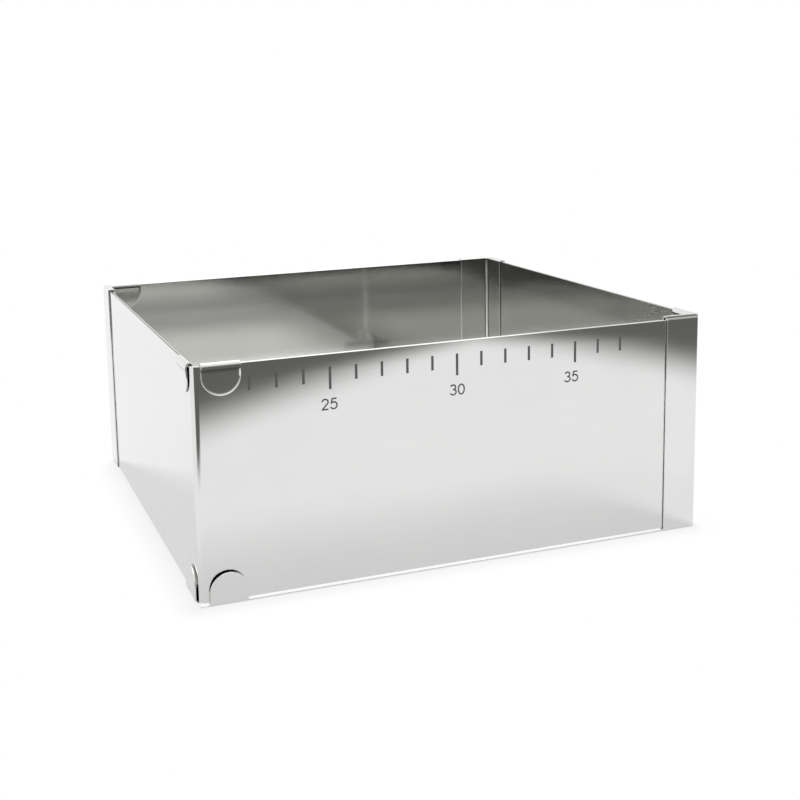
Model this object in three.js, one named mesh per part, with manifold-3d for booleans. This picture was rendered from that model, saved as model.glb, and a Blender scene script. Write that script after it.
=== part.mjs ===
// Adjustable cake frame: four L-shaped steel sheets that telescope in width and depth.
// Millimetres, +Z up, origin at the bottom centre of the closed frame.
import * as THREE from 'three';
import { mergeVertices } from 'three/addons/utils/BufferGeometryUtils.js';
import Module from 'manifold-3d';

const wasm = await Module();
wasm.setup();

// Driving dimensions of the closed frame
const FRAME_WIDTH = 209;
const FRAME_DEPTH = 192;
const PANEL_HEIGHT = 86;
const SHEET = 0.6;
const SLIDING_GAP = 0.3;
const OUTER_BEND = 2.2;
const INNER_BEND = 1.7;

// Folds that hold two sheets together at a rim; their bends start level with it
const FOLD_RISE = 1;
const FOLD_REACH = 2.1;
const FOLD_BEND = FOLD_RISE - SHEET / 2;

// Round-ended tabs at the sliding ends; the top ones lean against the sheet, the bottom ones stand off it
const TAB_WIDTH = 14.2;
const TAB_INSET = 3.4;
const TAB_DROP = 11;
const TAB_LEAN_TOP = 0.3;
const TAB_LEAN_BOTTOM = 0.1;
const TAB_ROOT = 1;

// Upright guide strips at the fixed ends
const STRIP_WIDTH = 14.2;
const STRIP_INSET = 3.2;
const STRIP_LIP = 3;
const WELD_GAP = 0.05;

const BEND_STEPS = 8;
const STEEL = { color: 0xc6c9cb, roughness: 0.28, metalness: 1 };
const STRIP_STEEL = { color: 0xd2d5d7, roughness: 0.24, metalness: 1 };

// Heights of the sheets' edges above the table
const FOOT = FOLD_RISE;
const RIM = FOOT + PANEL_HEIGHT;

// Depth of each layer's middle, measured inwards from the outer face of a side
const LAYER_PITCH = SHEET + SLIDING_GAP;
const OUTER_LAYER = SHEET / 2;
const INNER_LAYER = OUTER_LAYER + LAYER_PITCH;

// Points along one side of a bent sheet, whose middle line runs through the corners.
function sheetSide(corners, bendRadius, offset) {
  const side = [];
  corners.forEach((corner, index) => {
    const before = corners[index - 1];
    const after = corners[index + 1];
    const arriving = corner.clone().sub(before ?? corner).normalize();
    const leaving = (after ?? corner).clone().sub(corner).normalize();
    if (!before || !after) {
      const heading = before ? arriving : leaving;
      side.push(new THREE.Vector2(-heading.y, heading.x).multiplyScalar(offset).add(corner));
      return;
    }
    const turn = Math.atan2(arriving.cross(leaving), arriving.dot(leaving));
    const sense = Math.sign(turn);
    const setback = bendRadius * Math.tan(Math.abs(turn) / 2);
    const start = corner.clone().addScaledVector(arriving, -setback);
    const leftOfStart = new THREE.Vector2(-arriving.y, arriving.x);
    const centre = start.clone().addScaledVector(leftOfStart, bendRadius * sense);
    const spoke = leftOfStart.multiplyScalar(offset - bendRadius * sense);
    for (let step = 0; step <= BEND_STEPS; step += 1) {
      const angle = (turn * step) / BEND_STEPS;
      side.push(spoke.clone().rotateAround(new THREE.Vector2(), angle).add(centre));
    }
  });
  return side;
}

// Closed outline of a sheet of even thickness, bent at each inner corner.
function bentSheet(corners, bendRadius) {
  const left = sheetSide(corners, bendRadius, SHEET / 2);
  const right = sheetSide(corners, bendRadius, -SHEET / 2);
  return new THREE.Shape([...right, ...left.reverse()]);
}

function extrude(shape, depth) {
  return new THREE.ExtrudeGeometry(shape, { depth, bevelEnabled: false, curveSegments: 16 });
}

function toSolid(geometry) {
  const bare = geometry.clone();
  bare.deleteAttribute('normal');
  bare.deleteAttribute('uv');
  const merged = mergeVertices(bare, 1e-4);
  return new wasm.Manifold(new wasm.Mesh({
    numProp: 3,
    vertProperties: new Float32Array(merged.attributes.position.array),
    triVerts: new Uint32Array(merged.index.array),
  }));
}

function toGeometry(solid) {
  const mesh = solid.getMesh();
  const geometry = new THREE.BufferGeometry();
  geometry.setAttribute('position', new THREE.BufferAttribute(mesh.vertProperties, 3));
  geometry.setIndex(new THREE.BufferAttribute(mesh.triVerts, 1));
  geometry.computeVertexNormals();
  return geometry;
}

// Puts a section drawn as (inwards, up) and extruded sideways onto one leg of a panel.
// In a panel's own frame its outer corner is at the origin, with one leg along +X and one along +Y.
function ontoLeg(leg, farEnd, width) {
  const up = new THREE.Vector3(0, 0, 1);
  const inwards = leg === 'x' ? new THREE.Vector3(0, 1, 0) : new THREE.Vector3(1, 0, 0);
  const sideways = leg === 'x' ? new THREE.Vector3(1, 0, 0) : new THREE.Vector3(0, -1, 0);
  const matrix = new THREE.Matrix4().makeBasis(inwards, up, sideways);
  const place = leg === 'x' ? [farEnd - width, 0, 0] : [0, farEnd, 0];
  return matrix.setPosition(...place);
}

// Section of a tab: out of the sheet, over the neighbour's rim and down its far face.
function tabSection(layer, towards, edge, up) {
  const farSide = layer + towards * FOLD_REACH;
  const crest = edge + up * (FOLD_RISE - SHEET / 2);
  const lean = up > 0 ? TAB_LEAN_TOP : TAB_LEAN_BOTTOM;
  return bentSheet([
    new THREE.Vector2(layer, edge - up * TAB_ROOT),
    new THREE.Vector2(layer, crest),
    new THREE.Vector2(farSide, crest),
    new THREE.Vector2(farSide - towards * lean, edge - up * TAB_DROP),
  ], FOLD_BEND);
}

// Face outline of a tab: straight sides down from the fold to a half-round end.
function tabOutline(edge, up) {
  const radius = TAB_WIDTH / 2;
  const crest = edge + up * 2 * FOLD_RISE;
  const shoulder = edge - up * (TAB_DROP - radius);
  const outline = new THREE.Shape();
  outline.moveTo(TAB_WIDTH, crest);
  outline.lineTo(0, crest);
  outline.lineTo(0, shoulder);
  outline.absarc(radius, shoulder, radius, Math.PI, 0, up < 0);
  outline.closePath();
  return outline;
}

function tab(layer, towards, edge, up) {
  const reach = 4 * FOLD_REACH;
  const folded = extrude(tabSection(layer, towards, edge, up), TAB_WIDTH);
  const cutter = extrude(tabOutline(edge, up), reach).rotateY(-Math.PI / 2).translate(reach / 2, 0, 0);
  return toGeometry(toSolid(folded).intersect(toSolid(cutter)));
}

// One L-shaped sheet, with tabs at the ends that slide along a neighbour.
function panel({ layer, bend, legs, towards }) {
  const ends = legs.map(({ length, end }) => length - (end === 'tab' ? TAB_INSET : STRIP_INSET));
  const plan = bentSheet([
    new THREE.Vector2(ends[0], layer),
    new THREE.Vector2(layer, layer),
    new THREE.Vector2(layer, ends[1]),
  ], bend);
  let solid = toSolid(extrude(plan, PANEL_HEIGHT).translate(0, 0, FOOT));
  legs.forEach(({ end }, index) => {
    if (end !== 'tab') return;
    const seat = ontoLeg(index === 0 ? 'x' : 'y', ends[index], TAB_WIDTH);
    [[RIM, 1], [FOOT, -1]].forEach(([edge, up]) => {
      solid = solid.add(toSolid(tab(layer, towards, edge, up).applyMatrix4(seat)));
    });
  });
  return toGeometry(solid);
}

// Guide strip: an upright band beside its own panel, folded over both rims to a short lip.
function guideStrip(layer, towards) {
  const band = layer - towards * (SHEET + WELD_GAP);
  const lip = layer + towards * FOLD_REACH;
  const crest = RIM + FOLD_RISE - SHEET / 2;
  const sole = FOOT - FOLD_RISE + SHEET / 2;
  return extrude(bentSheet([
    new THREE.Vector2(lip, RIM - STRIP_LIP),
    new THREE.Vector2(lip, crest),
    new THREE.Vector2(band, crest),
    new THREE.Vector2(band, sole),
    new THREE.Vector2(lip, sole),
    new THREE.Vector2(lip, FOOT + STRIP_LIP),
  ], FOLD_BEND), STRIP_WIDTH);
}

function steelMesh(name, geometry, finish) {
  const mesh = new THREE.Mesh(geometry, new THREE.MeshStandardMaterial(finish));
  mesh.name = name;
  return mesh;
}

// The corner groups, in order round the frame: legs run along the group's own +X and +Y.
const INWARDS = 1;
const OUTWARDS = -1;
const corners = [
  {
    name: 'panel_front_left', x: -1, y: -1, layer: OUTER_LAYER, bend: OUTER_BEND, towards: INWARDS,
    legs: [
      { length: FRAME_WIDTH, end: 'guide_strip_front' },
      { length: FRAME_DEPTH, end: 'guide_strip_left' },
    ],
  },
  {
    name: 'panel_front_right', x: 1, y: -1, layer: INNER_LAYER, bend: INNER_BEND, towards: OUTWARDS,
    legs: [
      { length: FRAME_DEPTH, end: 'guide_strip_right' },
      { length: FRAME_WIDTH, end: 'tab' },
    ],
  },
  {
    name: 'panel_back_right', x: 1, y: 1, layer: OUTER_LAYER, bend: OUTER_BEND, towards: INWARDS,
    legs: [
      { length: FRAME_WIDTH, end: 'tab' },
      { length: FRAME_DEPTH, end: 'tab' },
    ],
  },
  {
    name: 'panel_back_left', x: -1, y: 1, layer: INNER_LAYER, bend: INNER_BEND, towards: OUTWARDS,
    legs: [
      { length: FRAME_DEPTH, end: 'tab' },
      { length: FRAME_WIDTH, end: 'guide_strip_back' },
    ],
  },
];

const frame = new THREE.Group();
corners.forEach((corner, quarter) => {
  const group = new THREE.Group();
  group.position.set((corner.x * FRAME_WIDTH) / 2, (corner.y * FRAME_DEPTH) / 2, 0);
  group.rotation.z = (quarter * Math.PI) / 2;
  group.add(steelMesh(corner.name, panel(corner), STEEL));
  corner.legs.forEach(({ length, end }, index) => {
    if (end === 'tab') return;
    const strip = steelMesh(end, guideStrip(corner.layer, corner.towards), STRIP_STEEL);
    strip.applyMatrix4(ontoLeg(index === 0 ? 'x' : 'y', length - STRIP_INSET, STRIP_WIDTH));
    group.add(strip);
  });
  frame.add(group);
});

export default frame;
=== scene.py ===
import math
from collections import namedtuple

import bmesh
import bpy
from mathutils import Matrix, Vector


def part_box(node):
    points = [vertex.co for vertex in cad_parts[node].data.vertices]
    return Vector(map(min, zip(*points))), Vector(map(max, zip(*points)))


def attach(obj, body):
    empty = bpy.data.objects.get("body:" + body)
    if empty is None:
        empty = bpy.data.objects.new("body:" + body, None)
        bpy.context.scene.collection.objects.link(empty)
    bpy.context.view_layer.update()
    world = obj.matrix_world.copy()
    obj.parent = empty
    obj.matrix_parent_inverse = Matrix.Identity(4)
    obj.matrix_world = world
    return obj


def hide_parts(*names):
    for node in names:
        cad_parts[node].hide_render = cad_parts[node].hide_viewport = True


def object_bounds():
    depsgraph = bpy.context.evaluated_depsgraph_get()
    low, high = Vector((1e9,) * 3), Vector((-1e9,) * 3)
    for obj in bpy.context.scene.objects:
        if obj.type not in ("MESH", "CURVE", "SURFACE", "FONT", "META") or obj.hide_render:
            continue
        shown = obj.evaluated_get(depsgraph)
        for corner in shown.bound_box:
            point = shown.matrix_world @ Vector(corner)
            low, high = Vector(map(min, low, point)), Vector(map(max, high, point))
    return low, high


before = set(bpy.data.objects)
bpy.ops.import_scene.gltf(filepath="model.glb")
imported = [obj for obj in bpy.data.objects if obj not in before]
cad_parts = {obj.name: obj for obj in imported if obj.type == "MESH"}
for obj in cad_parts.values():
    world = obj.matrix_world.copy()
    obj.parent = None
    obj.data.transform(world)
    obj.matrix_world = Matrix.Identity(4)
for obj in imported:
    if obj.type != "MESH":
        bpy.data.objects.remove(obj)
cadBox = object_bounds()
mm = 0.001
nearly = 1e-9  # lengths this close count as equal
scene = bpy.context.scene
scene.view_settings.view_transform = "Standard"
print("frame loaded:", len(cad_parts), "nodes")

# Outer rectangle and sheet edges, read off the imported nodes
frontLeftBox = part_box("panel_front_left")
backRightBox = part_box("panel_back_right")
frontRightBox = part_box("panel_front_right")
leftX, frontY, footZ = frontLeftBox[0]
rightX, backY = backRightBox[1][0], backRightBox[1][1]
rimZ = frontLeftBox[1][2]
frameWidth, frameDepth = rightX - leftX, backY - frontY
tabInset = frontRightBox[0][0] - leftX
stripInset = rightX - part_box("guide_strip_front")[1][0]
foldRise = cadBox[1].z - rimZ

sheet = {
    "thickness": 0.6 * mm,
    "slidingGap": 0.3 * mm,
    "outerBend": 2.2 * mm,
    "innerBend": 1.7 * mm,
    "bendSteps": 16,
    "rows": 14,
    "plainColumns": 14,
}
outerLayer = sheet["thickness"] / 2
innerLayer = outerLayer + sheet["thickness"] + sheet["slidingGap"]


# Nodes: a value given for a socket is linked if it is another socket, and set if it is not

def newGroup(kind, name, inputs, outputs):
    tree = bpy.data.node_groups.new(name, kind)
    for way, sockets in (("INPUT", inputs), ("OUTPUT", outputs)):
        for label, socketKind in sockets.items():
            tree.interface.new_socket(label, in_out=way, socket_type=socketKind)
    return tree, tree.nodes.new("NodeGroupInput"), tree.nodes.new("NodeGroupOutput")


def addNode(tree, kind, links=None, **values):
    node = tree.nodes.new(kind)
    for key, value in values.items():
        setattr(node, key, value)
    for socket, source in (links or {}).items():
        if hasattr(source, "is_output"):
            tree.links.new(source, node.inputs[socket])
        else:
            node.inputs[socket].default_value = source
    return node


def mathNode(tree, operation, first, second=0.5, third=None):
    links = {0: first, 1: second}
    if third is not None:
        links[2] = third
    return addNode(tree, "ShaderNodeMath", links, operation=operation).outputs[0]


def vectorNode(tree, operation, first, second=(0, 0, 0)):
    return addNode(tree, "ShaderNodeVectorMath", {0: first, 1: second}, operation=operation).outputs


def mapRange(tree, value, fromRange, toRange=(0.0, 1.0), easing="LINEAR"):
    links = {
        "Value": value,
        "From Min": fromRange[0], "From Max": fromRange[1],
        "To Min": toRange[0], "To Max": toRange[1],
    }
    node = addNode(tree, "ShaderNodeMapRange", links, interpolation_type=easing)
    return node.outputs["Result"]


def noise(tree, place, scale, detail, more=None):
    links = {"Vector": place, "Scale": scale, "Detail": detail, **(more or {})}
    return addNode(tree, "ShaderNodeTexNoise", links).outputs["Fac"]


def mixTones(tree, factor, first, second):
    tones = [tone if hasattr(tone, "is_output") else (*tone, 1) for tone in (first, second)]
    mix = addNode(tree, "ShaderNodeMix", {"Factor": factor, 6: tones[0], 7: tones[1]}, data_type="RGBA")
    return mix.outputs[2]


def objectPlace(tree):
    return addNode(tree, "ShaderNodeTexCoord").outputs["Object"]


# Shader groups shared by the steel finishes

grainLook = {
    "detail": 4.0,
    "hairStretch": (0.22, 0.22, 1.6),  # scratches are longer and thinner than the grain
    "hairDetail": 1.0,
    "scratchRange": (0.70, 0.78),
}


def rolledGrainGroup():
    # fine lines along the sheet, from the rolling mill: slow sideways, quick up and down
    tree, source, sink = newGroup(
        "ShaderNodeTree", "rolledGrain",
        dict.fromkeys(("Line Pitch", "Line Length"), "NodeSocketFloat"),
        dict.fromkeys(("Grain", "Scratch"), "NodeSocketFloat"),
    )
    pitch, length = source.outputs["Line Pitch"], source.outputs["Line Length"]
    stretch = addNode(tree, "ShaderNodeCombineXYZ", {0: length, 1: length, 2: pitch}).outputs[0]
    lines = vectorNode(tree, "MULTIPLY", objectPlace(tree), stretch)[0]
    longer = vectorNode(tree, "MULTIPLY", lines, grainLook["hairStretch"])[0]
    hairs = noise(tree, longer, 1.0, grainLook["hairDetail"])
    tree.links.new(noise(tree, lines, 1.0, grainLook["detail"]), sink.inputs["Grain"])
    tree.links.new(mapRange(tree, hairs, grainLook["scratchRange"]), sink.inputs["Scratch"])
    return tree


markLook = {
    "detail": 5.0,
    "roughness": 0.62,
    "distortion": 0.6,
    "smudgeRange": (0.42, 0.72),
    "waveScale": 9.0,
    "waveDetail": 1.0,
}


def handlingGroup():
    # cloudy wipe marks from handling, and slow waves in the sheet
    tree, source, sink = newGroup(
        "ShaderNodeTree", "handlingMarks",
        {"Patch Scale": "NodeSocketFloat"},
        dict.fromkeys(("Smudge", "Wave"), "NodeSocketFloat"),
    )
    place = objectPlace(tree)
    clouds = noise(
        tree, place, source.outputs["Patch Scale"], markLook["detail"],
        {"Roughness": markLook["roughness"], "Distortion": markLook["distortion"]},
    )
    waves = noise(tree, place, markLook["waveScale"], markLook["waveDetail"])
    tree.links.new(mapRange(tree, clouds, markLook["smudgeRange"]), sink.inputs["Smudge"])
    tree.links.new(waves, sink.inputs["Wave"])
    return tree


rolledGrain = rolledGrainGroup()
handlingMarks = handlingGroup()


def newMaterial(name):
    material = bpy.data.materials.new(name)
    material.use_nodes = True
    tree = material.node_tree
    return material, tree, tree.nodes["Principled BSDF"]


def placeGroup(tree, group, values):
    return addNode(tree, "ShaderNodeGroup", values, node_tree=group).outputs


steelFinish = {
    "tone": (0.785, 0.785, 0.779),
    "toneWorn": (0.75, 0.75, 0.745),
    "grainDulling": 0.5,
    "smudgeDulling": 0.45,
    "roughness": 0.055,
    "grainRoughness": 0.02,
    "smudgeRoughness": 0.02,
    "scratchRoughness": 0.02,
    "waveHeight": 0.12 * mm,
    "creaseShadeTone": (0.3, 0.3, 0.295),  # painted shade that darkens the creases under the beads
    "linePitch": 900.0,
    "lineLength": 14.0,
    "patchScale": 22.0,
}


def steelMaterial(name, **changes):
    finish = {**steelFinish, **changes}
    material, tree, shader = newMaterial(name)
    grain = placeGroup(
        tree, rolledGrain, {"Line Pitch": finish["linePitch"], "Line Length": finish["lineLength"]},
    )
    marks = placeGroup(tree, handlingMarks, {"Patch Scale": finish["patchScale"]})
    dulling = mathNode(tree, "MULTIPLY", grain["Grain"], finish["grainDulling"])
    dulling = mathNode(tree, "MULTIPLY_ADD", marks["Smudge"], finish["smudgeDulling"], dulling)
    tone = mixTones(tree, dulling, finish["tone"], finish["toneWorn"])
    # painted shade: the base colour darkens towards the crease shade tone where the mesh marks a crease
    creaseShade = addNode(tree, "ShaderNodeAttribute", attribute_name="creaseShade").outputs["Fac"]
    tree.links.new(mixTones(tree, creaseShade, tone, finish["creaseShadeTone"]), shader.inputs["Base Color"])
    shader.inputs["Metallic"].default_value = 1.0
    rough = finish["roughness"]
    for mask, share in (
        (grain["Grain"], finish["grainRoughness"]),
        (marks["Smudge"], finish["smudgeRoughness"]),
        (grain["Scratch"], finish["scratchRoughness"]),
    ):
        rough = mathNode(tree, "MULTIPLY_ADD", mask, share, rough)
    tree.links.new(rough, shader.inputs["Roughness"])
    height = mathNode(tree, "MULTIPLY", marks["Wave"], finish["waveHeight"])
    bump = addNode(tree, "ShaderNodeBump", {"Height": height, "Distance": 1.0, "Strength": 1.0})
    tree.links.new(bump.outputs["Normal"], shader.inputs["Normal"])
    return material


stripLines = {"linePitch": 760.0, "lineLength": 18.0, "patchScale": 30.0}
rolledSheet = steelMaterial("rolledSheet")
# painted shade: darker copies of the sheet steel for faces inside the frame, standing in for the shade
# and dim reflections there; the light one a little darker, the deep one much darker
lightShadeInside = steelMaterial("lightShadeInside", tone=(0.735, 0.735, 0.7), toneWorn=(0.705, 0.705, 0.672))
deepShadeInside = steelMaterial("deepShadeInside", tone=(0.468, 0.47, 0.45), toneWorn=(0.438, 0.44, 0.42))
stripSteel = steelMaterial("stripSteel", tone=(0.8, 0.8, 0.795), **stripLines)
# painted shade: a darker, rougher copy of the strip steel for the outer bend of the front strip's top
# fold, standing in for the grey it reflects there
shadedFold = steelMaterial(
    "shadedFold", tone=(0.4, 0.4, 0.395), toneWorn=(0.34, 0.34, 0.335), roughness=0.2, **stripLines,
)
shearedEdge = steelMaterial(
    "shearedEdge", tone=(0.88, 0.88, 0.875), toneWorn=(0.74, 0.74, 0.73), roughness=0.26,
    waveHeight=0.0, linePitch=300.0, lineLength=2600.0, patchScale=60.0,
)

inkFinish = {
    "tone": (0.125, 0.125, 0.123),
    "toneThin": (0.18, 0.18, 0.177),
    "speckScale": 2600.0,
    "speckDetail": 3.0,
    "specular": 0.7,
    "roughness": 0.25,
    "speckRoughness": 0.15,
}


def inkMaterial():
    material, tree, shader = newMaterial("scaleInk")
    specks = noise(tree, objectPlace(tree), inkFinish["speckScale"], inkFinish["speckDetail"])
    tone = mixTones(tree, specks, inkFinish["tone"], inkFinish["toneThin"])
    tree.links.new(tone, shader.inputs["Base Color"])
    shader.inputs["Specular IOR Level"].default_value = inkFinish["specular"]
    rough = mathNode(tree, "MULTIPLY_ADD", specks, inkFinish["speckRoughness"], inkFinish["roughness"])
    tree.links.new(rough, shader.inputs["Roughness"])
    return material


scaleInk = inkMaterial()
print("finishes made")


# L-shaped sheets: a bent middle surface with folded tabs,
# given a thickness that falls away at the cut edges

tabSizes = {
    "width": 14.2 * mm,
    "drop": 11 * mm,
    "columns": 16,
    "archRows": 24,
    "endSteps": 32,
    "creaseDepth": 0.04 * mm,
    "creaseShare": 0.6,  # height of the crease, as a share of the sheet's thickness
    "flapRows": 6,
    # how far down the flap the painted crease shade fades
    "creaseShadeFade": 1.5 * mm,
}
# each fold: how far it reaches over the rim, how far its rounded bead comes down on the far side,
# how far the flap is pinched back under the bead, how far it leans back to the sheet below that,
# and the share of painted shade in the crease
flapShapes = {
    "pinched": {
        "reach": 2.1 * mm, "beadDrop": 1.3 * mm, "pinch": 0.35 * mm, "lean": 0.0, "creaseShade": 1.0,
    },
    "rolled": {
        "reach": 2.15 * mm, "beadDrop": 1.6 * mm, "pinch": 0.15 * mm, "lean": 0.4 * mm, "creaseShade": 0.6,
    },
    "flared": {
        "reach": 2.1 * mm, "beadDrop": 1.3 * mm, "pinch": 0.2 * mm, "lean": -0.17 * mm, "creaseShade": 0.2,
    },
    "loose": {
        "reach": 2.1 * mm, "beadDrop": 0.7 * mm, "pinch": 0.0, "lean": -0.6 * mm, "creaseShade": 0.0,
    },
    "shut": {
        "reach": 2.1 * mm, "beadDrop": 0.7 * mm, "pinch": 0.0, "lean": 0.25 * mm, "creaseShade": 0.0,
    },
}
# depths of the rings inside a cut edge, and the share of the sheet's thickness at each
ringDepths = (0.0, 0.06 * mm, 0.18 * mm)
ringShares = (0.3, 0.8, 1.0)
# one upright line of a sheet: its place in plan, the outward and lengthwise directions there,
# its distance from the leg's end and its place across a tab
planPoint = namedtuple("planPoint", "spot out axis endDistance across")


def addMesh(name, mesh, body, slotName, *nodes):
    piece = bpy.data.objects.new(name, mesh)
    scene.collection.objects.link(piece)
    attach(piece, body)
    if nodes:
        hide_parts(*nodes)
    return piece


def edgeShare(distance):
    for depth, share in zip(ringDepths, ringShares):
        if distance < depth + nearly:
            return share
    return 1.0


def ringedStations(length, count):
    # places along a length, with the rings at both ends
    rings, full = ringDepths[:-1], ringDepths[-1]
    inner = [full + (length - 2 * full) * step / count for step in range(count + 1)]
    return [*rings, *inner, *(length - depth for depth in reversed(rings))]


def legColumns(end, bendStart, hasTab):
    # distances from the corner, from the leg's end to its bend, with the place across a tab
    if hasTab:
        half = tabSizes["width"] / 2
        stations = ringedStations(tabSizes["width"], tabSizes["columns"])
        columns = [(end - station, half - station) for station in stations]
    else:
        columns = [(end - depth, None) for depth in ringDepths]
    start = columns[-1][0]
    for step in range(1, sheet["plainColumns"]):
        columns.append((start + (bendStart - start) * step / sheet["plainColumns"], None))
    return columns


def panelColumns(layer, bend, ends, tabs):
    # the middle surface in plan, from one leg's end round the bend to the other's
    columns = []
    bendStart = layer + bend
    for distance, across in legColumns(ends[0], bendStart, tabs[0]):
        spot, out, axis = Vector((distance, layer)), Vector((0, -1)), Vector((1, 0))
        columns.append(planPoint(spot, out, axis, ends[0] - distance, across))
    for step in range(sheet["bendSteps"] + 1):
        angle = math.pi / 2 * step / sheet["bendSteps"]
        out = Vector((-math.sin(angle), -math.cos(angle)))
        spot = Vector((bendStart, bendStart)) + out * bend
        columns.append(planPoint(spot, out, None, math.inf, None))
    for distance, across in reversed(legColumns(ends[1], bendStart, tabs[1])):
        spot, out, axis = Vector((layer, distance)), Vector((-1, 0)), Vector((0, 1))
        columns.append(planPoint(spot, out, axis, ends[1] - distance, across))
    return columns


def tabFlank(flap):
    # (sideways, down) points of a tab's straight part, over the fold to where its end turns round
    reach, rise = flap["reach"], foldRise - sheet["thickness"] / 2
    flank = []
    for step in range(1, tabSizes["archRows"] + 1):
        angle = math.pi * step / tabSizes["archRows"]
        lower = flap["beadDrop"] if angle > math.pi / 2 else 0.0
        flank.append((reach / 2 * (1 - math.cos(angle)), lower - (rise + lower) * math.sin(angle)))
    shoulder = tabSizes["drop"] - tabSizes["width"] / 2
    crease = flap["beadDrop"] + tabSizes["creaseDepth"]
    underneath = crease + sheet["thickness"] * tabSizes["creaseShare"]
    face = reach - flap["pinch"]
    flank.append((face, crease))
    for step in range(tabSizes["flapRows"] + 1):
        flank.append((face, underneath + (shoulder - underneath) * step / tabSizes["flapRows"]))
    return flank


def grimeShare(down, flap):
    # painted shade: most in the crease under a bead, fading down the flap
    depth = down - flap["beadDrop"]
    if depth < -tabSizes["creaseDepth"]:
        return 0.0
    return flap["creaseShade"] * max(1.0 - depth / tabSizes["creaseShadeFade"], 0.0)


def leaned(sideways, down, flap):
    share = min(max((down - flap["beadDrop"]) / (tabSizes["drop"] - flap["beadDrop"]), 0.0), 1.0)
    return sideways - flap["lean"] * share * share * (3 - 2 * share)


legFaces, tabFace = (0, 3), 6  # first of the three material slots of a face: front, cut edge, back


def addTab(work, layers, place, columns, edgeVerts, edge, up, towards, flap):
    # strands over the fold and down the flap, joined round its end by nested half circles
    def addVert(column, along, sideways, down, share):
        outward = towards * leaned(sideways, down, flap)
        spot = column.spot + column.axis * along - column.out * outward
        vert = work.verts.new(place @ Vector((spot.x, spot.y, edge - up * down)))
        vert[layers["thickness"]][0] = share
        vert[layers["creaseShade"]] = grimeShare(down, flap)
        return vert

    def addFace(*corners):
        face = work.faces.new(corners if up > 0 else corners[::-1])
        face.material_index = tabFace

    half = tabSizes["width"] / 2
    flank = tabFlank(flap)
    strands = []
    for column, start in zip(columns, edgeVerts):
        share = edgeShare(half - abs(column.across))
        strand = [addVert(column, 0.0, sideways, down, share) for sideways, down in flank]
        strands.append([start, *strand])
    for left, right in zip(strands, strands[1:]):
        for low in range(len(flank)):
            addFace(left[low], left[low + 1], right[low + 1], right[low])
        if flap["pinch"]:
            for crease in (tabSizes["archRows"], tabSizes["archRows"] + 1):
                work.edges.get((left[crease], right[crease])).smooth = False
    middle = len(columns) // 2
    sideways, shoulder = flank[-1]
    arcs = []
    for index, column in enumerate(columns[:middle]):
        radius = abs(column.across)
        arc = [strands[index][-1]]
        for step in range(1, tabSizes["endSteps"]):
            angle = math.pi * step / tabSizes["endSteps"]
            along = column.across * (math.cos(angle) - 1)
            down = shoulder + radius * math.sin(angle)
            arc.append(addVert(column, along, sideways, down, edgeShare(half - radius)))
        arcs.append(arc + [strands[-1 - index][-1]])
    for outer, inner in zip(arcs, arcs[1:]):
        for step in range(tabSizes["endSteps"]):
            addFace(outer[step], outer[step + 1], inner[step + 1], inner[step])
    hub = strands[middle][-1]
    for step in range(tabSizes["endSteps"]):
        addFace(arcs[-1][step], arcs[-1][step + 1], hub)


def panelMesh(name, place, columns, towards, flaps):
    work = bmesh.new()
    layers = {
        "thickness": work.verts.layers.deform.verify(),
        # the painted shade in the creases, read by the steel's base colour
        "creaseShade": work.verts.layers.float.new("creaseShade"),
    }
    height = rimZ - footZ
    rows = ringedStations(height, sheet["rows"])
    tabHalf = tabSizes["width"] / 2
    grid = []
    for column in columns:
        folded = column.across is not None and column.across > -tabHalf + nearly
        line = []
        for row in rows:
            vert = work.verts.new(place @ Vector((column.spot.x, column.spot.y, footZ + row)))
            edgeDistance = math.inf if folded else min(row, height - row)
            vert[layers["thickness"]][0] = edgeShare(min(column.endDistance, edgeDistance))
            line.append(vert)
        grid.append(line)
    bendMiddle = [column.axis for column in columns].index(None) + sheet["bendSteps"] // 2
    for index, (left, right) in enumerate(zip(grid, grid[1:])):
        for low in range(len(rows) - 1):
            face = work.faces.new((left[low], left[low + 1], right[low + 1], right[low]))
            face.material_index = legFaces[index >= bendMiddle]
    for leg in (slice(0, bendMiddle), slice(bendMiddle, None)):
        tabbed = [pair for pair in zip(columns[leg], grid[leg]) if pair[0].across is not None]
        if not tabbed:
            continue
        tabColumns, tabLines = zip(*tabbed)
        for edge, up, end, flap in ((rimZ, 1, -1, flaps[0]), (footZ, -1, 0, flaps[1])):
            edgeVerts = [line[end] for line in tabLines]
            addTab(work, layers, place, tabColumns, edgeVerts, edge, up, towards, flapShapes[flap])
    mesh = bpy.data.meshes.new(name)
    work.to_mesh(mesh)
    work.free()
    return mesh


def makePanel(nodeName, quarter, body, corner, layer, bend, ends, tabs, towards, flaps, insides):
    turn = Matrix.Rotation(math.pi / 2 * quarter, 4, "Z")
    place = Matrix.Translation((*corner, 0)) @ turn
    name = nodeName + "Skin"
    mesh = panelMesh(name, place, panelColumns(layer, bend, ends, tabs), towards, flaps)
    for backFace in (*insides, rolledSheet):
        for finish in (rolledSheet, shearedEdge, backFace):
            mesh.materials.append(finish)
    for polygon in mesh.polygons:
        polygon.use_smooth = True
    piece = addMesh(name, mesh, body, "sheet", nodeName)
    piece.vertex_groups.new(name="thickness")
    wall = piece.modifiers.new("thickness", "SOLIDIFY")
    wall.thickness = sheet["thickness"]
    wall.offset = 0
    wall.vertex_group = "thickness"
    wall.use_even_offset = True
    wall.use_rim = True
    wall.material_offset_rim = 1
    wall.material_offset = 2
    shading = piece.modifiers.new("shading", "WEIGHTED_NORMAL")
    shading.keep_sharp = True


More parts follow.
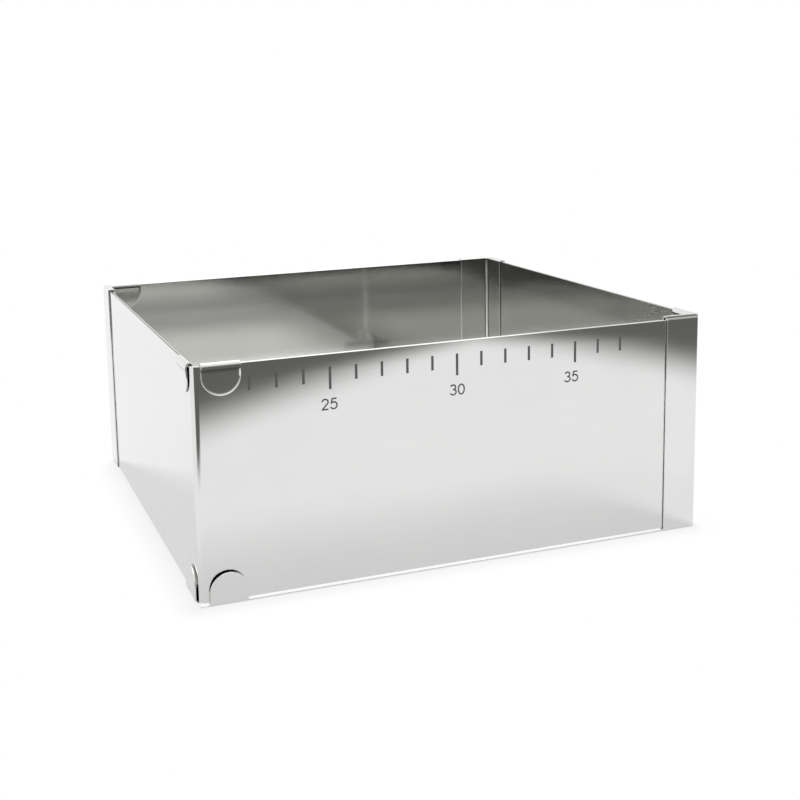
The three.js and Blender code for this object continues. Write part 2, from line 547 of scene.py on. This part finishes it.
inwards, outwards = 1, -1
panelPlans = {
    "panel_front_left": {
        "body": "front_left", "corner": (leftX, frontY),
        "layer": outerLayer, "bend": sheet["outerBend"], "towards": inwards,
        "ends": (frameWidth - stripInset, frameDepth - stripInset), "tabs": (False, False),
        "flaps": ("pinched", "loose"), "insides": (rolledSheet, rolledSheet),
    },
    "panel_front_right": {
        "body": "front_right", "corner": (rightX, frontY),
        "layer": innerLayer, "bend": sheet["innerBend"], "towards": outwards,
        "ends": (frameDepth - stripInset, frameWidth - tabInset), "tabs": (False, True),
        # the inside faces take painted shade, deep on the right leg and light on the front leg
        "flaps": ("pinched", "loose"), "insides": (deepShadeInside, lightShadeInside),
    },
    "panel_back_right": {
        "body": "back_right", "corner": (rightX, backY),
        "layer": outerLayer, "bend": sheet["outerBend"], "towards": inwards,
        "ends": (frameWidth - tabInset, frameDepth - tabInset), "tabs": (True, True),
        "flaps": ("flared", "loose"), "insides": (rolledSheet, rolledSheet),
    },
    "panel_back_left": {
        "body": "back_left", "corner": (leftX, backY),
        "layer": innerLayer, "bend": sheet["innerBend"], "towards": outwards,
        "ends": (frameDepth - tabInset, frameWidth - stripInset), "tabs": (True, False),
        "flaps": ("rolled", "shut"), "insides": (rolledSheet, rolledSheet),
    },
}
for quarter, (nodeName, plan) in enumerate(panelPlans.items()):
    makePanel(nodeName, quarter, **plan)
print("panels bent:", len(panelPlans))


# Guide strips: a rounded flat section swept along the folded path

stripSizes = {
    "reach": 2.1 * mm,
    "bend": 0.55 * mm,
    "lip": 3 * mm,
    "pressedFrom": 0.55 * mm,  # where the outer half of a top fold is pressed down onto the rim
    "pressedSlope": 0.12 * mm,
    "pressedBend": 0.25,  # share of the bend radius along the pressed step
    "edgeRound": 0.22 * mm,
    "edgeSteps": 3,
    "bendSteps": 10,
    "weldDistance": 1e-7,
    "bandFacing": 0.9,  # how squarely a face of the flat looks into the frame
    "bendFacing": 0.2,  # how much a face of the top fold's outer bend looks up and out
}


def endTree(tree, geometry, material, sink):
    real = addNode(tree, "GeometryNodeRealizeInstances", {"Geometry": geometry})
    links = {"Geometry": real.outputs["Geometry"], "Material": material}
    finish = addNode(tree, "GeometryNodeSetMaterial", links)
    tree.links.new(finish.outputs["Geometry"], sink.inputs["Geometry"])


def stripTree():
    lengths = ("Strip Width", "Sheet Thickness", "Bend Radius", "Edge Round")
    tree, source, sink = newGroup(
        "GeometryNodeTree", "sweptStrip",
        {"Geometry": "NodeSocketGeometry", **dict.fromkeys(lengths, "NodeSocketFloat"),
         "Steel": "NodeSocketMaterial"},
        {"Geometry": "NodeSocketGeometry"},
    )
    sharpness = addNode(tree, "GeometryNodeInputRadius").outputs[0]
    bends = addNode(
        tree, "GeometryNodeFilletCurve",
        {"Curve": source.outputs["Geometry"], "Count": stripSizes["bendSteps"], "Limit Radius": True,
         "Radius": mathNode(tree, "MULTIPLY", sharpness, source.outputs["Bend Radius"])},
        mode="POLY",
    )
    even = addNode(tree, "GeometryNodeSetCurveRadius", {"Curve": bends.outputs["Curve"], "Radius": 1.0})
    upright = addNode(tree, "GeometryNodeSetCurveNormal", {"Curve": even.outputs["Curve"]}, mode="Z_UP")
    section = addNode(
        tree, "GeometryNodeCurvePrimitiveQuadrilateral",
        {"Width": source.outputs["Sheet Thickness"], "Height": source.outputs["Strip Width"]},
    )
    corners = addNode(
        tree, "GeometryNodeFilletCurve",
        {"Curve": section.outputs["Curve"], "Count": stripSizes["edgeSteps"],
         "Radius": source.outputs["Edge Round"]},
        mode="POLY",
    )
    sweep = addNode(
        tree, "GeometryNodeCurveToMesh",
        {"Curve": upright.outputs["Curve"], "Profile Curve": corners.outputs["Curve"],
         "Fill Caps": True},
    )
    endTree(tree, sweep.outputs["Mesh"], source.outputs["Steel"], sink)
    return tree


def socketId(tree, label):
    for item in tree.interface.items_tree:
        if item.item_type == "SOCKET" and item.in_out == "INPUT" and item.name == label:
            return item.identifier
    raise KeyError(label)


def grownMesh(carrier, name, tree, values):
    # runs the tree on the carrier object and keeps the result as a plain mesh
    modifier = carrier.modifiers.new("nodes", "NODES")
    modifier.node_group = tree
    for label, value in values.items():
        modifier[socketId(tree, label)] = value
    graph = bpy.context.evaluated_depsgraph_get()
    mesh = bpy.data.meshes.new_from_object(carrier.evaluated_get(graph), depsgraph=graph)
    mesh.name = name
    carrier.modifiers.remove(modifier)
    bpy.data.objects.remove(carrier)
    return mesh


def stripPath(name, points):
    # a path drawn flat in XY, with the share of the bend radius at each point;
    # a strip's x is inwards and its y is up
    curve = bpy.data.curves.new(name, "CURVE")
    curve.dimensions = "3D"
    line = curve.splines.new("POLY")
    line.points.add(len(points) - 1)
    for spot, (x, y, bendShare) in zip(line.points, points):
        spot.co = (x, y, 0, 1)
        spot.radius = bendShare
    carrier = bpy.data.objects.new(name, curve)
    scene.collection.objects.link(carrier)
    return carrier


sweptStrip = stripTree()
stripPlans = {
    "guide_strip_front": {
        "body": "front_left", "layer": outerLayer, "towards": inwards, "inward": (0, 1),
        # the outer bend of the top fold takes the painted shade
        "fit": "pressed", "bendFinish": shadedFold,
    },
    "guide_strip_left": {
        "body": "front_left", "layer": outerLayer, "towards": inwards, "inward": (1, 0),
        "fit": "standing",
    },
    "guide_strip_right": {
        "body": "front_right", "layer": innerLayer, "towards": outwards, "inward": (-1, 0),
        # its flat facing into the frame takes the deep painted shade
        "fit": "flush", "bandFinish": deepShadeInside,
    },
    "guide_strip_back": {
        "body": "back_left", "layer": innerLayer, "towards": outwards, "inward": (0, -1),
        "fit": "flush",
    },
}
# how each strip lies: its gap from the sheet, and how far its top fold rises and is pressed down
stripFits = {
    "pressed": {"weldGap": 0.25 * mm, "crestRise": 0.35 * mm, "pressedDrop": 0.4 * mm},
    "standing": {"weldGap": 0.08 * mm, "crestRise": 0.0, "pressedDrop": 0.0},
    "flush": {"weldGap": 0.1 * mm, "crestRise": -0.3 * mm, "pressedDrop": 0.3 * mm},
}


def stripFace(normal, inward):
    # material slot of a strip's face: the flat that faces into the frame is 1,
    # the outer bend of the top fold is 2, and the rest is 0
    facing = normal.dot(inward)
    if facing > stripSizes["bandFacing"]:
        return 1
    bent = stripSizes["bendFacing"]
    return 2 if normal.z > bent and facing < -bent else 0


def makeStrip(
    nodeName, body, layer, towards, inward, fit, bandFinish=stripSteel, bendFinish=stripSteel,
):
    boxLow, boxHigh = (Vector(corner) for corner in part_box(nodeName))
    width = boxHigh.x - boxLow.x if inward[0] == 0 else boxHigh.y - boxLow.y
    fit = stripFits[fit]
    band = layer - towards * (sheet["thickness"] + fit["weldGap"])
    lip = layer + towards * stripSizes["reach"]
    crest = rimZ + foldRise - sheet["thickness"] / 2
    sole = footZ - foldRise + sheet["thickness"] / 2
    high, low = crest + fit["crestRise"], crest - fit["pressedDrop"]
    press = layer + towards * stripSizes["pressedFrom"]
    pressEnd = press - towards * stripSizes["pressedSlope"]
    tight = stripSizes["pressedBend"]
    step = [(press, high, tight), (pressEnd, low, tight)] if high > low else []
    path = [
        (lip, rimZ - stripSizes["lip"], 1), (lip, high, 1), *step, (band, low, 1),
        (band, sole, 1), (lip, sole, 1), (lip, footZ + stripSizes["lip"], 1),
    ]
    mesh = grownMesh(stripPath(nodeName + "Path", path), nodeName + "Skin", sweptStrip, {
        "Strip Width": width,
        "Sheet Thickness": sheet["thickness"],
        "Bend Radius": stripSizes["bend"],
        "Edge Round": stripSizes["edgeRound"],
        "Steel": stripSteel,
    })
    middle = (boxLow + boxHigh) / 2
    face = {(0, 1): (middle.x, frontY), (1, 0): (leftX, middle.y),
            (-1, 0): (rightX, middle.y), (0, -1): (middle.x, backY)}[inward]
    inAxis, upAxis = Vector((*inward, 0)), Vector((0, 0, 1))
    sideAxis = inAxis.cross(upAxis)
    place = Matrix((
        (inAxis.x, upAxis.x, sideAxis.x, face[0]),
        (inAxis.y, upAxis.y, sideAxis.y, face[1]),
        (inAxis.z, upAxis.z, sideAxis.z, 0),
        (0, 0, 0, 1),
    ))
    mesh.transform(place)
    work = bmesh.new()
    work.from_mesh(mesh)
    bmesh.ops.remove_doubles(work, verts=work.verts, dist=stripSizes["weldDistance"])
    bmesh.ops.recalc_face_normals(work, faces=work.faces)
    work.to_mesh(mesh)
    work.free()
    mesh.materials.append(bandFinish)
    mesh.materials.append(bendFinish)
    for polygon in mesh.polygons:
        polygon.use_smooth = True
        polygon.material_index = stripFace(polygon.normal, inAxis)
    piece = addMesh(nodeName + "Skin", mesh, body, "strip", nodeName)
    shading = piece.modifiers.new("shading", "WEIGHTED_NORMAL")
    shading.keep_sharp = False


for nodeName, plan in stripPlans.items():
    makeStrip(nodeName, **plan)
print("guide strips swept:", len(stripPlans))


# Centimetre scale etched on the front sheet

scaleMarks = {
    "firstMark": 22,
    "lastMark": 37,
    "longEvery": 5,
    "zeroFromCorner": -199.5 * mm,  # where the scale's zero would lie, from the front left corner
    "pitch": 10 * mm,
    "topBelowRim": 4.7 * mm,
    "length": 5.5 * mm,
    "longLength": 8.3 * mm,
    "width": 1.0 * mm,
    "depth": 0.02 * mm,
    "numeralHeight": 4.35 * mm,
    "numeralBelowRim": 18.45 * mm,
    "numeralShifts": {25: -0.45 * mm, 35: -1.6 * mm},
    "digitWidth": 3.0 * mm,
    "digitPitch": 3.3 * mm,
    "stroke": 0.58 * mm,
    "strokeStagger": 0.1,  # a digit's second stroke stands this share higher, clear of the first
}


def scaleTree():
    lengths = ("Pitch", "Length", "Long Length", "Width", "Depth")
    counts = ("Count", "First Mark", "Long Every")
    tree, source, sink = newGroup(
        "GeometryNodeTree", "scaleTicks",
        {"Geometry": "NodeSocketGeometry", **dict.fromkeys(lengths, "NodeSocketFloat"),
         **dict.fromkeys(counts, "NodeSocketInt"), "Ink": "NodeSocketMaterial"},
        {"Geometry": "NodeSocketGeometry"},
    )
    step = addNode(tree, "ShaderNodeCombineXYZ", {"X": source.outputs["Pitch"]}).outputs[0]
    row = addNode(tree, "GeometryNodeMeshLine", {"Count": source.outputs["Count"], "Offset": step})
    index = addNode(tree, "GeometryNodeInputIndex").outputs[0]
    number = mathNode(tree, "ADD", index, source.outputs["First Mark"])
    rest = mathNode(tree, "MODULO", number, source.outputs["Long Every"])
    isLong = mathNode(tree, "LESS_THAN", rest, 0.5)
    length = addNode(
        tree, "ShaderNodeMix",
        {"Factor": isLong, "A": source.outputs["Length"], "B": source.outputs["Long Length"]},
    ).outputs["Result"]
    size = addNode(
        tree, "ShaderNodeCombineXYZ",
        {"X": source.outputs["Width"], "Y": source.outputs["Depth"], "Z": length},
    ).outputs[0]
    block = addNode(tree, "GeometryNodeMeshCube").outputs["Mesh"]
    hang = addNode(tree, "GeometryNodeTransform", {"Geometry": block, "Translation": (0, 0, -0.5)})
    ticks = addNode(
        tree, "GeometryNodeInstanceOnPoints",
        {"Points": row.outputs["Mesh"], "Instance": hang.outputs["Geometry"], "Scale": size},
    )
    endTree(tree, ticks.outputs["Instances"], source.outputs["Ink"], sink)
    return tree


def markX(number):
    return leftX + scaleMarks["zeroFromCorner"] + scaleMarks["pitch"] * number


def makeTicks():
    carrier = bpy.data.objects.new("scaleCarrier", bpy.data.meshes.new("scaleCarrier"))
    scene.collection.objects.link(carrier)
    mesh = grownMesh(carrier, "scaleTicks", scaleTree(), {
        "Pitch": scaleMarks["pitch"],
        "Length": scaleMarks["length"],
        "Long Length": scaleMarks["longLength"],
        "Width": scaleMarks["width"],
        "Depth": scaleMarks["depth"],
        "Count": scaleMarks["lastMark"] - scaleMarks["firstMark"] + 1,
        "First Mark": scaleMarks["firstMark"],
        "Long Every": scaleMarks["longEvery"],
        "Ink": scaleInk,
    })
    start = (markX(scaleMarks["firstMark"]), frontY, rimZ - scaleMarks["topBelowRim"])
    mesh.transform(Matrix.Translation(start))
    addMesh("scaleTicks", mesh, "front_left", "sheet")


def arcPoints(centre, radii, start, stop, stepAngle=15, leastSteps=4):
    # points of an elliptical arc, angles in degrees
    points = []
    steps = max(leastSteps, round(abs(stop - start) / stepAngle))
    for step in range(steps + 1):
        angle = math.radians(start + (stop - start) * step / steps)
        points.append((centre[0] + radii[0] * math.cos(angle), centre[1] + radii[1] * math.sin(angle)))
    return points


# pen strokes of the plain numerals, in a box one high and one wide
digitStrokes = {
    "0": [arcPoints((0.5, 0.5), (0.5, 0.5), 90, 450)],
    "2": [
        [*arcPoints((0.5, 0.73), (0.47, 0.27), 175, -35), (0.04, 0.0)],
        [(-0.06, 0.0), (1.0, 0.0)],
    ],
    "3": [
        arcPoints((0.47, 0.765), (0.43, 0.235), 160, -95),
        arcPoints((0.48, 0.27), (0.5, 0.27), 95, -160),
    ],
    "5": [
        [(0.95, 1.0), (0.24, 1.0), (0.1, 0.49)],
        arcPoints((0.48, 0.335), (0.52, 0.335), 140, -158),
    ],
}


def makeNumeral(number):
    pen = scaleMarks["stroke"]
    wide, high = scaleMarks["digitWidth"] - pen, scaleMarks["numeralHeight"] - pen
    middle = markX(number) + scaleMarks["numeralShifts"].get(number, 0.0)
    low = rimZ - scaleMarks["numeralBelowRim"] - high / 2
    place = Matrix.Translation((middle, frontY, low)) @ Matrix.Rotation(math.pi / 2, 4, "X")
    digits = str(number)
    for index, digit in enumerate(digits):
        left = (index - (len(digits) - 1) / 2) * scaleMarks["digitPitch"] - wide / 2
        for turn, stroke in enumerate(digitStrokes[digit]):
            name = f"numeral{digits}Digit{index}Stroke{turn}"
            path = [(left + x * wide, y * high, 1) for x, y in stroke]
            mesh = grownMesh(stripPath(name + "Path", path), name, sweptStrip, {
                "Strip Width": scaleMarks["depth"] * (1 + scaleMarks["strokeStagger"] * turn),
                "Sheet Thickness": pen,
                "Bend Radius": pen / 4,
                "Edge Round": scaleMarks["depth"] / 4,
                "Steel": scaleInk,
            })
            mesh.transform(place)
            addMesh(name, mesh, "front_left", "sheet")


makeTicks()
for number in range(scaleMarks["firstMark"], scaleMarks["lastMark"] + 1):
    if number % scaleMarks["longEvery"] == 0:
        makeNumeral(number)
print("scale marked")


# Studio: a pale table, white surroundings, and a dark room beyond the table's front, right and back

studio = {
    "floorSize": 6.0,
    "floorDrop": 0.05 * mm,
    "floorTone": (0.93, 0.93, 0.93),
    "fleckTone": (0.95, 0.95, 0.95),
    "fleckScale": 60.0,
    "fleckDetail": 3.0,
    "floorRoughness": 0.9,
    "footShare": 0.82,  # share of white that the camera sees at the frame's foot
    "whiteFrom": 0.011,  # beyond this distance from the frame the floor is plain white to the camera
    "contactLine": 0.3 * mm,  # distance in front of the front sheet where its shadow shows most
    "contactReach": 1.0 * mm,
    "contactShare": 0.6,
    "mirrorShare": 0.65,
    "mirrorWhiteFrom": 0.11,  # the same for the steel, which shows more of the shadow
    "insideShare": 0.2,
    "worldLight": 0.4,
    "darkTone": (0.136, 0.138, 0.127, 1),
    "darkLift": 0.1 * mm,
    "tableCorner": (0.207, -0.52),
    "tableSide": (-0.246, -0.1845),
    "sideAngle": 32.0,
    "rightEdgeAngle": 69.3,
    "frontBlur": 0.037,
    "rightBlur": 0.055,
    "backCorner": (-0.075, 0.43),
    "backAngle": 172.0,
    "backSideAngle": 90.0,
    "backBlur": 0.06,
    "wallLine": ((-0.8, -1.1), (1.5, -1.1)),
    "wallHeight": 0.9,
    "wallFade": 0.3,  # the wall begins to clear at this height
}


def frameDistance(tree, place):
    # distance of a floor point from the closed frame's outline, zero inside it
    spread = vectorNode(tree, "ABSOLUTE", place)[0]
    beyond = vectorNode(tree, "SUBTRACT", spread, (frameWidth / 2, frameDepth / 2, 1.0))[0]
    outside = vectorNode(tree, "MAXIMUM", beyond)[0]
    return vectorNode(tree, "LENGTH", outside)["Value"]


def contactShadow(tree, place):
    # share of white that gives way to the shadow along the front foot, which no joint moves
    spot = addNode(tree, "ShaderNodeSeparateXYZ", {0: place}).outputs
    ahead = mathNode(tree, "SUBTRACT", frontY - studio["contactLine"], spot["Y"])
    shadow = mapRange(
        tree, mathNode(tree, "ABSOLUTE", ahead),
        (0.0, studio["contactReach"]), (studio["contactShare"], 0.0),
    )
    beside = mathNode(tree, "ABSOLUTE", mathNode(tree, "ADD", spot["X"], stripInset / 2))
    below = mathNode(tree, "LESS_THAN", beside, (frameWidth - stripInset) / 2)
    return mathNode(tree, "MULTIPLY", shadow, below)


def blendSurface(tree, share, first, second):
    blend = addNode(tree, "ShaderNodeMixShader", {0: share, 1: first.outputs[0], 2: second.outputs[0]})
    tree.links.new(blend.outputs[0], tree.nodes["Material Output"].inputs["Surface"])


def floorMaterial():
    material, tree, shader = newMaterial("paleFloor")
    place = objectPlace(tree)
    flecks = noise(tree, place, studio["fleckScale"], studio["fleckDetail"])
    tone = mixTones(tree, flecks, studio["floorTone"], studio["fleckTone"])
    tree.links.new(tone, shader.inputs["Base Color"])
    shader.inputs["Roughness"].default_value = studio["floorRoughness"]
    shader.inputs["Specular IOR Level"].default_value = 0.0
    white = addNode(tree, "ShaderNodeEmission", {"Color": (1, 1, 1, 1), "Strength": 1.0})
    rays = addNode(tree, "ShaderNodeLightPath").outputs
    distance = frameDistance(tree, place)
    seen = mapRange(tree, distance, (0.0, studio["whiteFrom"]), (studio["footShare"], 1.0))
    seen = mathNode(tree, "SUBTRACT", seen, contactShadow(tree, place))
    mirrored = mapRange(
        tree, distance, (0.0, studio["mirrorWhiteFrom"]), (studio["mirrorShare"], 1.0), "SMOOTHSTEP",
    )
    outside = mathNode(tree, "GREATER_THAN", distance, 0.0)
    mirrored = addNode(
        tree, "ShaderNodeMix", {"Factor": outside, "A": studio["insideShare"], "B": mirrored},
    ).outputs["Result"]
    share = mathNode(tree, "MULTIPLY", rays["Is Camera Ray"], seen)
    for kind in ("Is Glossy Ray", "Is Transmission Ray"):
        share = mathNode(tree, "MULTIPLY_ADD", rays[kind], mirrored, share)
    blendSurface(tree, share, shader, white)
    return material


def darkMaterial():
    # dark beyond the table's front, right and back edges, fading in across them
    material, tree = newMaterial("darkRoom")[:2]
    place = objectPlace(tree)

    def beyond(start, angle, blur):
        # distance past a line through the start, in widths of its blur
        turn = math.radians(angle)
        onward = vectorNode(tree, "SUBTRACT", place, (*start, 0))[0]
        out = vectorNode(tree, "DOT_PRODUCT", onward, (math.sin(turn), -math.cos(turn), 0))["Value"]
        return mathNode(tree, "DIVIDE", out, blur)

    corner, side, backCorner = studio["tableCorner"], studio["tableSide"], studio["backCorner"]
    frontAngle = math.degrees(math.atan2(corner[1] - side[1], corner[0] - side[0]))
    ahead = mathNode(
        tree, "MINIMUM",
        beyond(corner, frontAngle, studio["frontBlur"]),
        beyond(side, studio["sideAngle"], studio["frontBlur"]),
    )
    aside = beyond(corner, studio["rightEdgeAngle"], studio["rightBlur"])
    behind = mathNode(
        tree, "MINIMUM",
        beyond(backCorner, studio["backAngle"], studio["backBlur"]),
        beyond(backCorner, studio["backSideAngle"], studio["backBlur"]),
    )
    outside = mathNode(tree, "MAXIMUM", mathNode(tree, "MAXIMUM", ahead, aside), behind)
    share = mapRange(tree, outside, (-1.0, 1.0), easing="SMOOTHSTEP")
    height = addNode(tree, "ShaderNodeSeparateXYZ", {0: place}).outputs["Z"]
    fade = mapRange(tree, height, (studio["wallFade"], studio["wallHeight"]), (1.0, 0.0), "SMOOTHSTEP")
    cover = mathNode(tree, "MULTIPLY", share, fade)
    clear = addNode(tree, "ShaderNodeBsdfTransparent")
    dark = addNode(tree, "ShaderNodeEmission", {"Color": studio["darkTone"], "Strength": 1.0})
    blendSurface(tree, cover, clear, dark)
    return material


def stageMesh(name, points, material):
    mesh = bpy.data.meshes.new(name)
    mesh.from_pydata(points, [], [tuple(range(len(points)))])
    mesh.materials.append(material)
    thing = bpy.data.objects.new(name, mesh)
    scene.collection.objects.link(thing)
    return thing


half = studio["floorSize"] / 2
floorZ = cadBox[0].z - studio["floorDrop"]
darkZ, wallTop = floorZ + studio["darkLift"], studio["wallHeight"]
floorCorners = ((-half, -half), (half, -half), (half, half), (-half, half))
wallStart, wallEnd = studio["wallLine"]
stageMesh("floor", [(*spot, floorZ) for spot in floorCorners], floorMaterial())

# the dark room is seen only in the steel
darkRoom = darkMaterial()
darkPieces = {
    "darkFloor": [(*spot, darkZ) for spot in floorCorners],
    "darkWall": [(*wallStart, darkZ), (*wallEnd, darkZ), (*wallEnd, wallTop), (*wallStart, wallTop)],
}
for name, points in darkPieces.items():
    piece = stageMesh(name, points, darkRoom)
    for flag in ("visible_camera", "visible_diffuse", "visible_shadow", "visible_transmission"):
        setattr(piece, flag, False)


def makeWorld():
    world = bpy.data.worlds.new("whiteStudio")
    world.use_nodes = True
    tree = world.node_tree
    back = tree.nodes["Background"]
    rays = addNode(tree, "ShaderNodeLightPath").outputs
    seen = mathNode(tree, "ADD", rays["Is Camera Ray"], rays["Is Glossy Ray"])
    seen = mathNode(tree, "ADD", seen, rays["Is Transmission Ray"])
    level = mapRange(tree, seen, (0.0, 1.0), (studio["worldLight"], 1.0))
    tree.links.new(level, back.inputs["Strength"])
    back.inputs["Color"].default_value = (1, 1, 1, 1)
    scene.world = world


lamps = {
    "keyLight": {
        "place": (0.36, 0.83, 0.95), "target": (0, 0, 0), "size": (0.45, 0.45), "power": 14.0,
        "unseen": "visible_glossy",
    },
    # a soft box that only whitens the rims and beads
    "topLight": {
        "place": (0, 0.25, 1.5), "target": (0, 0.25, 0), "size": (1.6, 1.6), "power": 10.5,
        "unseen": "visible_diffuse",
    },
}


def addLamp(name, place, target, size, power, unseen):
    lamp = bpy.data.lights.new(name, "AREA")
    lamp.shape = "RECTANGLE"
    lamp.size, lamp.size_y = size
    lamp.energy = power
    thing = bpy.data.objects.new(name, lamp)
    thing.location = place
    thing.rotation_euler = (Vector(target) - Vector(place)).to_track_quat("-Z", "Y").to_euler()
    scene.collection.objects.link(thing)
    setattr(thing, unseen, False)


makeWorld()
for name, plan in lamps.items():
    addLamp(name, **plan)
print("studio lit")


# Camera, from the photograph's fitted view

photoView = {
    "imageSize": 800,
    "focalPixels": 1216.0,
    "axisPixel": (350.0, 280.0),
    "place": (-190.76 * mm, -497.9 * mm, 180.96 * mm),
    "right": (0.93918, -0.34278, -0.02121),
    "up": (0.07354, 0.14038, 0.98736),
    "sensorWidth": 36.0,
    "clip": (0.01, 20.0),
}


def makeCamera():
    data = bpy.data.cameras.new("photoCamera")
    data.sensor_width = photoView["sensorWidth"]
    size, axis = photoView["imageSize"], photoView["axisPixel"]
    data.lens = photoView["focalPixels"] * data.sensor_width / size
    data.shift_x = (size / 2 - axis[0]) / size
    data.shift_y = (axis[1] - size / 2) / size
    data.clip_start, data.clip_end = photoView["clip"]
    right = Vector(photoView["right"]).normalized()
    back = right.cross(Vector(photoView["up"])).normalized()
    up = back.cross(right)
    camera = bpy.data.objects.new("photoCamera", data)
    camera.matrix_world = Matrix((
        (right.x, up.x, back.x, photoView["place"][0]),
        (right.y, up.y, back.y, photoView["place"][1]),
        (right.z, up.z, back.z, photoView["place"][2]),
        (0, 0, 0, 1),
    ))
    scene.collection.objects.link(camera)
    scene.camera = camera


makeCamera()
bpy.context.view_layer.update()
print("scene finished")
